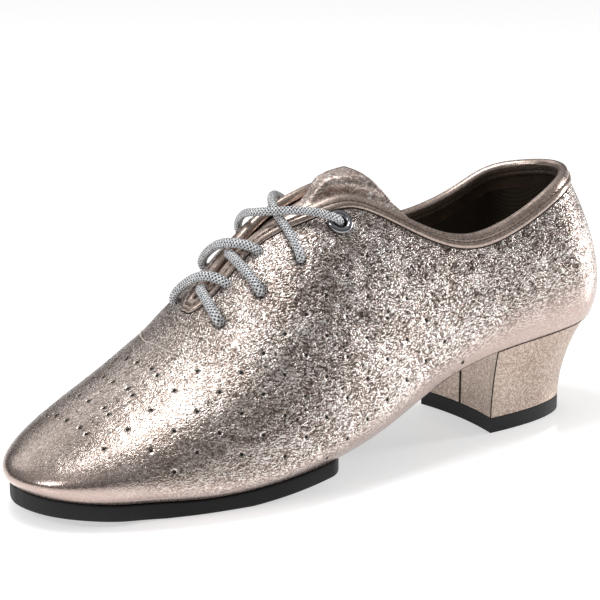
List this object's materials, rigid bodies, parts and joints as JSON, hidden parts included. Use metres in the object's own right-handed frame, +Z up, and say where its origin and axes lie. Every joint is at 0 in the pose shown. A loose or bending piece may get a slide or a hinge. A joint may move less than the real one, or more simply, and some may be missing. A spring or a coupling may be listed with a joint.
{
  "type": "ballroom dance shoe",
  "caption": "Hollow lace-up leather dance shoe with a covered block heel, a thin black sole with a forefoot pad, a bound collar, a tongue and crossed laces.",
  "frame": {"origin": "middle of the shoe's bounding box, on the plane that heel and forefoot stand on", "axes": "+X from toe to heel, +Y from the outer side of the foot to its inner side, +Z up"},
  "size_m": [0.2449, 0.0864, 0.1026],
  "materials": {
    "upper_leather": "metallic champagne, crackle grain",
    "binding_leather": "metallic champagne, smooth",
    "tongue_leather": "metallic rose, fine grain",
    "sock_lining": "dark olive brown twill",
    "sole_rubber": "black, matt",
    "pad_rubber": "black, matt",
    "heel_cover": "metallic champagne, matt",
    "top_piece_rubber": "black, matt",
    "eyelet_metal": "polished nickel",
    "lace_cord": "silver grey braided cord"
  },
  "bodies": {
    "root": {"upper": "upper_leather", "topline_binding": "binding_leather", "tongue": "tongue_leather", "insole": "sock_lining", "outsole": "sole_rubber", "forefoot_pad": "pad_rubber", "heel": "heel_cover", "heel_top_piece": "top_piece_rubber", "eyelet_near": "eyelet_metal", "eyelet_far": "eyelet_metal", "lace_crossing_1": "lace_cord", "lace_crossing_2": "lace_cord", "lace_crossing_3": "lace_cord"}
  },
  "joints": []
}
